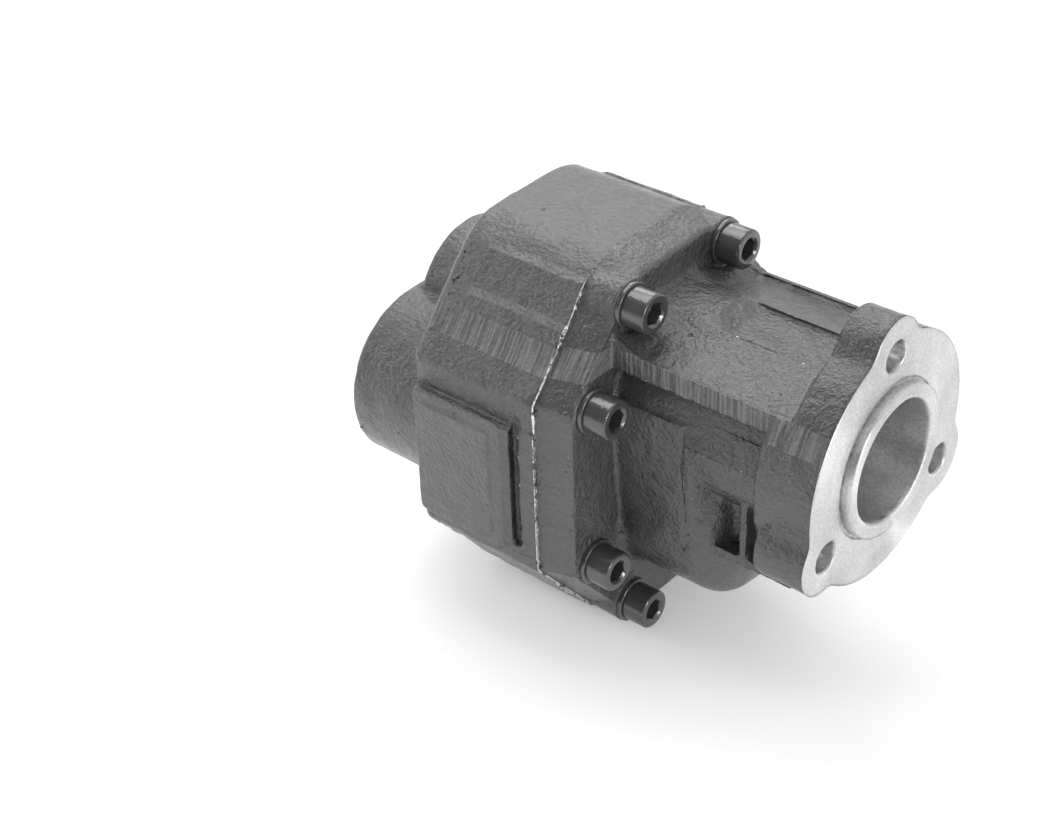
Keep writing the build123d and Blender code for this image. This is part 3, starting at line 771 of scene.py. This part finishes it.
# ---------------------------------------------------------------- sub-assemblies
@dataclass
class Fasteners:
    """Eight cap screws with their washers."""

    arc_radius: float = 52.4 * MM
    arc_angles: tuple[float, float] = (33.6, 79.4)
    head_radius: float = 8.0 * MM
    head_height: float = 10.0 * MM
    shank_radius: float = 5.0 * MM
    length: float = 40.0 * MM
    socket_half_width: float = 4.0 * MM
    socket_depth: float = 5.6 * MM
    rim_round: float = 1.0 * MM
    washer_radius: float = 9.2 * MM
    washer_hole: float = 5.3 * MM
    washer_thickness: float = 2.0 * MM
    crease: float = math.radians(32)
    turns: tuple[float, ...] = (0.2, 0.9, 0.55, 0.05, 0.7, 0.35, 1.0, 0.5)
    slot: str = "painted_screws"

    def places(self) -> list[tuple[float, float]]:
        """Y and Z of the screws' axes: two arcs of four, about the gear axes."""
        found = []
        for side in (-1, 1):
            for angle in self.arc_angles:
                y = side * self.arc_radius * math.sin(math.radians(angle))
                z = self.arc_radius * math.cos(math.radians(angle))
                found += [(y, z), (y, DRIVEN_Z - z)]
        return found

    def screws(self) -> bpy.types.Object:
        """Builds the screws: rounded head, countersunk hexagon socket, shank with a lead-in."""
        seat = SEAT_X + self.washer_thickness
        top = seat + self.head_height
        mesh = bmesh.new()
        for place, turn in zip(self.places(), self.turns):
            rings = [
                Ring(seat - self.length, self.shank_radius - 0.8 * MM),
                Ring(seat - self.length + 0.8 * MM, self.shank_radius),
                Ring(seat, self.shank_radius),
                Ring(seat, self.head_radius - 0.5 * MM),
                Ring(seat + 0.3 * MM, self.head_radius),
                *rounded_corner(top, self.head_radius, self.rim_round, 1),
                Ring(top, self.socket_half_width + 1.25 * MM),
                Ring(top - 0.25 * MM, self.socket_half_width + 0.9 * MM),
                Ring(top - 0.8 * MM, self.socket_half_width, hexagon=True),
                Ring(top - self.socket_depth, self.socket_half_width, hexagon=True),
                Ring(top - self.socket_depth - 1.2 * MM, 0.6 * MM),
            ]
            RingStack(rings, turn=turn).build(mesh, place, closed=False)
        return to_object(mesh, "cap_screws", self.crease)

    def washers(self) -> bpy.types.Object:
        """Builds the washers, with their corners rounded."""
        rear, front = SEAT_X, SEAT_X + self.washer_thickness
        mesh = bmesh.new()
        for place in self.places():
            outer_rear = list(reversed(rounded_corner(rear, self.washer_radius, 0.25 * MM, -1, 2)))
            outer_front = rounded_corner(front, self.washer_radius, 0.45 * MM, 1, 3)
            rings = [Ring(rear, self.washer_hole), *outer_rear, *outer_front, Ring(front, self.washer_hole)]
            RingStack(rings).build(mesh, place, closed=True)
        return to_object(mesh, "plain_washers", self.crease)

    def build(self, materials: dict[str, bpy.types.Material]) -> None:
        """Builds, dresses and seats the fasteners.

        Args:
            materials: the finishes by slot name.
        """
        pairs = ((self.screws(), "body_screws"), (self.washers(), "screw_washers"))
        for piece, node in pairs:
            piece.data.materials.append(materials[self.slot])
            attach(piece, HOUSING)
            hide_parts(node)
            log.info("built %s in place of %s", piece.name, node)


@dataclass(frozen=True)
class Zone:
    """Part of a casting that was machined, as a stretch of a cylinder along X."""

    rear: float
    front: float
    centre: tuple[float, float]
    radius: float
    bare: bool = True                   # unpainted

    def holds(self, place: Vector) -> bool:
        """Whether a point lies in the zone."""
        if not self.rear <= place.x <= self.front:
            return False
        return math.hypot(place.y - self.centre[0], place.z - self.centre[1]) <= self.radius


@dataclass(frozen=True)
class Slab:
    """Part of a casting that was machined, as a box that stands on both sides of the middle."""

    low: tuple[float, float, float]
    high: tuple[float, float, float]
    bare: bool = False                  # unpainted

    def holds(self, place: Vector) -> bool:
        """Whether a point lies in the box or in its mirror image."""
        mirrored = (place.x, abs(place.y), place.z)
        return all(a <= b <= c for a, b, c in zip(self.low, mirrored, self.high))


@dataclass
class CastSkin:
    """A casting's outside as it comes from the sand: rounded edges and low lumps.

    It starts from the construction node's own mesh. Machined places stay exactly as they are.
    """

    node: str
    name: str
    zones: list[Zone | Slab]
    edge_limit: float = 2.2 * MM
    crease: float = math.radians(38)
    passes: int = 3
    lump_depth: float = 0.55 * MM
    lump_size: float = 7.5 * MM
    grain_depth: float = 0.16 * MM
    grain_size: float = 2.6 * MM
    slot: str = "painted_casting"
    bare_slot: str = "machined_iron"
    weld: float = 0.001 * MM            # vertices closer than this are joined
    joint_reach: float = 0.02 * MM      # how near the joint plane a point counts as on it

    def _refine(self, mesh: bmesh.types.BMesh) -> None:
        """Cuts long edges until none is longer than the limit."""
        bmesh.ops.remove_doubles(mesh, verts=mesh.verts, dist=self.weld)
        for _ in range(8):
            long = [edge for edge in mesh.edges if edge.calc_length() > self.edge_limit]
            if not long:
                break
            bmesh.ops.subdivide_edges(mesh, edges=long, cuts=1, use_grid_fill=True)
            bmesh.ops.triangulate(mesh, faces=[face for face in mesh.faces if len(face.verts) > 3])

    def _fixed(self, place: Vector) -> bool:
        """Whether a point is on a machined place."""
        return abs(place.x - JOINT_X) < self.joint_reach or any(zone.holds(place) for zone in self.zones)

    def _soften(self, mesh: bmesh.types.BMesh) -> None:
        """Rounds the cast edges a little."""
        sharp = set()
        for edge in mesh.edges:
            if len(edge.link_faces) == 2 and edge.calc_face_angle(0.0) > self.crease:
                sharp.update(edge.verts)
        around = {other for vert in sharp for edge in vert.link_edges for other in edge.verts}
        loose = [vert for vert in mesh.verts if vert in around and not self._fixed(vert.co)]
        for _ in range(self.passes):
            bmesh.ops.smooth_vert(
                mesh, verts=loose, factor=0.5, use_axis_x=True, use_axis_y=True, use_axis_z=True
            )

    def _roughen(self, mesh: bmesh.types.BMesh) -> None:
        """Sinks the skin into low lumps and grains, never outwards."""
        mesh.normal_update()
        moves = []
        for vert in mesh.verts:
            if self._fixed(vert.co):
                continue
            lump = 0.5 + 0.5 * noise.noise(vert.co / self.lump_size)
            grain = 0.5 + 0.5 * noise.noise(vert.co / self.grain_size)
            moves.append((vert, vert.normal * -(self.lump_depth * lump + self.grain_depth * grain)))
        for vert, move in moves:
            vert.co += move

    def build(
        self, nodes: dict[str, bpy.types.Object], materials: dict[str, bpy.types.Material]
    ) -> bpy.types.Object:
        """Builds, dresses and seats the skin.

        Args:
            nodes: the frame's nodes by name.
            materials: the finishes by name.

        Returns:
            The new piece.
        """
        mesh = bmesh.new()
        mesh.from_mesh(nodes[self.node].data)
        self._refine(mesh)
        self._soften(mesh)
        self._roughen(mesh)
        bare = [zone for zone in self.zones if zone.bare]
        for face in mesh.faces:
            middle = face.calc_center_median()
            face.material_index = int(any(zone.holds(middle) for zone in bare))
        piece = to_object(mesh, self.name, self.crease)
        piece.data.materials.append(materials[self.slot])
        piece.data.materials.append(materials[self.bare_slot])
        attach(piece, HOUSING)
        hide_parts(self.node)
        return piece


def front_zones(screw_places: list[tuple[float, float]]) -> list[Zone | Slab]:
    """Machined places of the front casting.

    Args:
        screw_places: Y and Z of the body screws' axes.

    Returns:
        The zones.
    """
    drive, driven = (0.0, 0.0), (0.0, DRIVEN_Z)
    between = (0.0, DRIVEN_Z / 2)
    zones = [
        # flange face, spigot with its relief
        Zone(-0.03 * MM, 5 * MM, drive, 65 * MM),
        Zone(-1 * MM, 5 * MM, drive, 31.3 * MM),
        # outer faces and tops of the side bars
        Slab((-92 * MM, 38.9 * MM, 21 * MM), (-16.5 * MM, 39.1 * MM, 31 * MM)),
        Slab((-92 * MM, 36.5 * MM, 29.9 * MM), (-16.5 * MM, 39.1 * MM, 31 * MM)),
        # guide bore, then the seals' bore
        Zone(-60 * MM, 5 * MM, drive, 24.5 * MM),
        Zone(-110 * MM, -57 * MM, drive, 21.5 * MM, bare=False),
        # recess of the front bearing block
        Zone(-110 * MM, -84 * MM, drive, 30.3 * MM, bare=False),
        Zone(-110 * MM, -84 * MM, driven, 30.3 * MM, bare=False),
        Zone(-110 * MM, -84 * MM, between, 20 * MM, bare=False),
    ]
    bolt_circle = 43.5 * MM
    for index in range(3):
        angle = math.radians(90 + 120 * index)
        centre = (bolt_circle * math.cos(angle), bolt_circle * math.sin(angle))
        zones.append(Zone(-23 * MM, 5 * MM, centre, 6.6 * MM))
    zones += [Zone(-110 * MM, -93.9 * MM, place, 5.6 * MM) for place in screw_places]
    zones += [Zone(-94.1 * MM, -93.9 * MM, place, 10.3 * MM, bare=False) for place in screw_places]
    return zones


def rear_zones() -> list[Zone | Slab]:
    """Machined places of the rear casting."""
    drive, driven = (0.0, 0.0), (0.0, DRIVEN_Z)
    between = (0.0, DRIVEN_Z / 2)
    zones = [
        # outer faces of the side pads
        Slab((-163 * MM, 71.2 * MM, -52 * MM), (-129 * MM, 71.4 * MM, -5 * MM)),
        # gear chamber
        Zone(-165 * MM, -108 * MM, drive, 31.5 * MM, bare=False),
        Zone(-165 * MM, -108 * MM, driven, 31.5 * MM, bare=False),
        # joint face with its seal's groove, then the plug's seat
        Zone(-112 * MM, -108 * MM, between, 62 * MM, bare=False),
        Zone(-201.1 * MM, -165 * MM, drive, 23.4 * MM),
    ]
    port_offset = 37 * MM
    for side in (-1, 1):
        centre = (side * port_offset, between[1])
        zones.append(Zone(-206 * MM, -204.7 * MM, centre, 21.1 * MM))
        zones.append(Zone(-206 * MM, -112 * MM, centre, 15.3 * MM))
    return zones


@dataclass
class CarriedNodes:
    """Construction nodes that show as they are, with a better finish."""

    slots: dict[str, str]

    def build(self, nodes: dict[str, bpy.types.Object], materials: dict[str, bpy.types.Material]) -> None:
        """Dresses every node.

        Args:
            nodes: the frame's nodes by name.
            materials: the finishes by slot name, or by node name where a node has its own.
        """
        for name, slot in self.slots.items():
            data = nodes[name].data
            data.materials.clear()
            data.materials.append(materials.get(name, materials[slot]))
            log.info("dressed %s as %s", name, slot)


@dataclass(frozen=True)
class Lamp:
    """One soft rectangular light."""

    name: str
    place: tuple[float, float, float]
    size: tuple[float, float]           # width and height
    power: float                        # watts


@dataclass
class Studio:
    """Pale floor, soft lights and the camera."""

    lamps: tuple[Lamp, ...] = (
        Lamp("high_softbox", (-0.45, 0.15, 1.15), (0.9, 0.7), 6.0),
        Lamp("rear_softbox", (-0.78, 0.72, 0.72), (0.75, 0.40), 3.2),
        Lamp("left_softbox", (-1.0, -0.55, 0.45), (0.22, 0.45), 3.0),
        Lamp("face_softbox", (1.1, -0.20, 0.24), (0.30, 0.40), 5.5),
    )
    aim: tuple[float, float, float] = (-0.09, 0.0, -0.02)   # what the lamps point at
    floor_half: float = 9.0
    floor_edge: float = 0.2             # the edge runs this much further out
    floor_drop: float = 0.1             # and this much down
    floor_steps: int = 48
    glow_near: float = 0.22             # the floor's own light, under the pump
    glow_far: float = 0.42
    camera_place: Vector = field(default_factory=lambda: Vector((0.2868, -0.5145, 0.4248)))
    forward: Vector = field(default_factory=lambda: Vector((-0.547, 0.615, -0.5679)))
    right: Vector = field(default_factory=lambda: Vector((0.7614, 0.6475, -0.0323)))
    focal_length: float = 68.17
    sensor_width: float = 36.0
    ambient: float = 0.66
    front_level: float = 0.16           # what gloss reflects from the camera's side
    back_level: float = 1.0             # what it reflects from the backdrop

    def floor(self, height: float) -> None:
        """Builds the floor, with an edge that rolls down out of sight.

        Args:
            height: the floor's Z.
        """
        mesh = bmesh.new()
        steps = self.floor_steps
        outer = self.floor_half
        loops = []
        rings = ((0.4, 0.0), (1.2, 0.0), (outer, 0.0), (outer + self.floor_edge, self.floor_drop))
        for radius, drop in rings:
            points = []
            for k in range(steps):
                angle = 2 * math.pi * k / steps
                points.append(mesh.verts.new((radius * math.cos(angle), radius * math.sin(angle), -drop)))
            loops.append(points)
        mesh.faces.new(loops[0])
        for first, second in zip(loops, loops[1:]):
            for k in range(steps):
                after = (k + 1) % steps
                mesh.faces.new((first[k], second[k], second[after], first[after]))
        floor = to_object(mesh, "studio_floor", math.radians(40))
        floor.location.z = height
        material = bpy.data.materials.new("pale_floor")
        material.use_nodes = True
        material.node_tree.nodes.clear()
        graph = Graph(material.node_tree)
        place = graph.add("ShaderNodeTexCoord").outputs["Object"]
        cloud = graph.ramp(graph.noise(place, 3.0, 2.0), 0.2, 0.8, 0.90, 0.93)
        colour = graph.add("ShaderNodeCombineColor", {0: cloud, 1: cloud, 2: cloud}).outputs[0]
        path = graph.add("ShaderNodeLightPath")
        seen = graph.calc(Calc.MAX, path.outputs["Is Camera Ray"], path.outputs["Is Glossy Ray"])
        seen = graph.calc(Calc.MAX, seen, path.outputs["Is Transmission Ray"])
        x, y, _ = graph.axes(place)
        glow = graph.ramp(graph.near_axis(x, y, (0.0, 0.0)), 0.45, 1.6, self.glow_near, self.glow_far)
        surface = graph.add(
            "ShaderNodeBsdfPrincipled",
            {
                "Base Color": colour, "Roughness": 0.8, "Specular IOR Level": 0.1,
                "Emission Color": grey(1.0), "Emission Strength": graph.calc(Calc.MULTIPLY, seen, glow),
            },
        )
        graph.add("ShaderNodeOutputMaterial", {"Surface": surface.outputs[0]})
        floor.data.materials.append(material)
        floor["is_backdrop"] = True
        log.info("built %s", floor.name)

    def world(self) -> None:
        """Sets a plain surround: white where it is seen, dimmer where it lights."""
        world = bpy.data.worlds.new("studio_surround")
        bpy.context.scene.world = world
        world.use_nodes = True
        world.node_tree.nodes.clear()
        graph = Graph(world.node_tree)
        path = graph.add("ShaderNodeLightPath")
        seen = graph.calc(Calc.MAX, path.outputs["Is Camera Ray"], path.outputs["Is Transmission Ray"])
        level = graph.blend(seen, self.ambient, 1.0)
        _, depth, height = graph.axes(graph.add("ShaderNodeTexCoord").outputs["Generated"])
        backdrop = graph.ramp(graph.mix_in(depth, height, 0.25), -0.35, 0.35)
        mirrored = graph.blend(backdrop, self.front_level, self.back_level)
        level = graph.blend(path.outputs["Is Glossy Ray"], level, mirrored)
        shown = graph.add("ShaderNodeBackground", {"Color": grey(1.0), "Strength": level})
        graph.add("ShaderNodeOutputWorld", {"Surface": shown.outputs[0]})

    def hang(self, lamp: Lamp) -> None:
        """Hangs one soft light that points at the pump.

        Args:
            lamp: the light.
        """
        data = bpy.data.lights.new(lamp.name, "AREA")
        data.shape = "RECTANGLE"
        data.size, data.size_y = lamp.size
        data.energy = lamp.power
        hung = bpy.data.objects.new(lamp.name, data)
        hung.location = lamp.place
        hung.rotation_mode = "QUATERNION"
        hung.rotation_quaternion = (Vector(self.aim) - hung.location).to_track_quat("-Z", "Y")
        bpy.context.scene.collection.objects.link(hung)
        log.info("hung %s", hung.name)

    def camera(self) -> None:
        """Places the camera."""
        data = bpy.data.cameras.new("main_camera")
        data.sensor_fit = "HORIZONTAL"
        data.sensor_width = self.sensor_width
        data.lens = self.focal_length
        data.clip_start, data.clip_end = 0.01, 50.0
        camera = bpy.data.objects.new("main_camera", data)
        ahead = self.forward.normalized()
        right = (self.right - ahead * self.right.dot(ahead)).normalized()
        up = right.cross(ahead)
        turn = Matrix((right, up, -ahead)).transposed()
        camera.matrix_world = Matrix.Translation(self.camera_place) @ turn.to_4x4()
        bpy.context.scene.collection.objects.link(camera)
        bpy.context.scene.camera = camera
        log.info("placed %s", camera.name)

    def build(self, low: Vector) -> None:
        """Builds the whole studio.

        Args:
            low: the object's lowest corner.
        """
        self.floor(low.z)
        self.world()
        for lamp in self.lamps:
            self.hang(lamp)
        self.camera()
        bpy.context.scene.view_settings.view_transform = "Standard"


def main() -> None:
    """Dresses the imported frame, adds the detailed pieces and sets the studio."""
    logging.basicConfig(level=logging.INFO, format="%(name)s: %(message)s")
    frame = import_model()
    cad_low, cad_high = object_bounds()
    Studio().build(cad_low)

    dresser = Dresser(Effects())
    materials = {slot: finish.make(dresser) for slot, finish in FINISHES.items()}
    materials["painted_casting"] = PaintedIron("painted_casting").make(dresser)
    materials["machined_iron"] = MachinedIron("machined_iron").make(dresser)
    slots = {part["node"]: part["material_slot"] for part in frame["record"]["subparts"]}
    CarriedNodes(slots).build(frame["nodes"], materials)
    fasteners = Fasteners()
    fasteners.build(materials)
    castings = (
        CastSkin("front_casting", "front_casting_skin", front_zones(fasteners.places())),
        CastSkin("rear_casting", "rear_casting_skin", rear_zones()),
    )
    for casting in castings:
        piece = casting.build(frame["nodes"], materials)
        log.info("built %s with %d faces", piece.name, len(piece.data.polygons))


if __name__ == "__main__":
    main()
